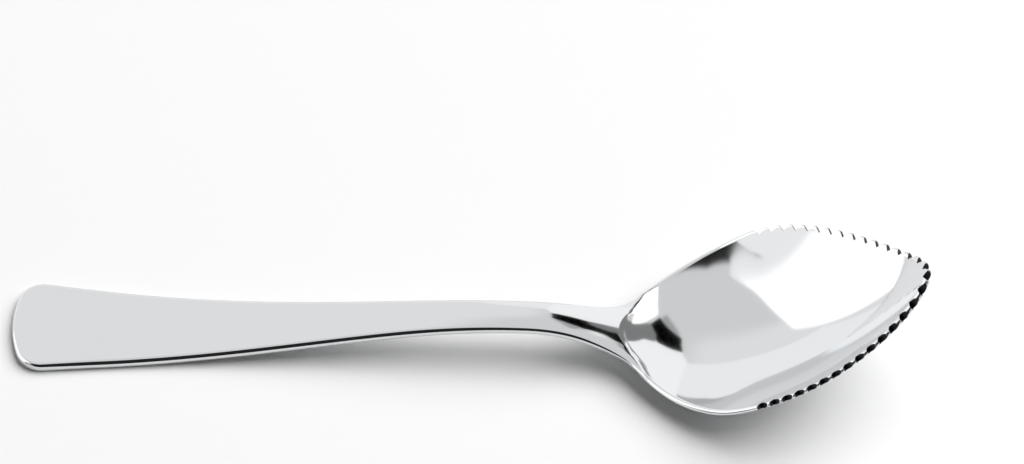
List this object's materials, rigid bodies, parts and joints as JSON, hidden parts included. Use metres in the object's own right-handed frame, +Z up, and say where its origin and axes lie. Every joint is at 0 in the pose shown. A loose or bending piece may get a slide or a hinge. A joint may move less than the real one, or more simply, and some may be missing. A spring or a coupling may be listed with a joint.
{
  "type": "grapefruit spoon",
  "caption": "Polished stainless steel grapefruit spoon with a pointed bowl, serrated along both sides of the tip.",
  "frame": {"origin": "on the table, below the middle of the spoon's length and width", "axes": "+X from the handle end to the bowl's tip, +Y across the spoon to the left of +X, +Z up"},
  "size_m": [0.16, 0.0406, 0.0251],
  "materials": {
    "polished_steel": "polished"
  },
  "bodies": {
    "root": {"spoon": "polished_steel"}
  },
  "joints": []
}
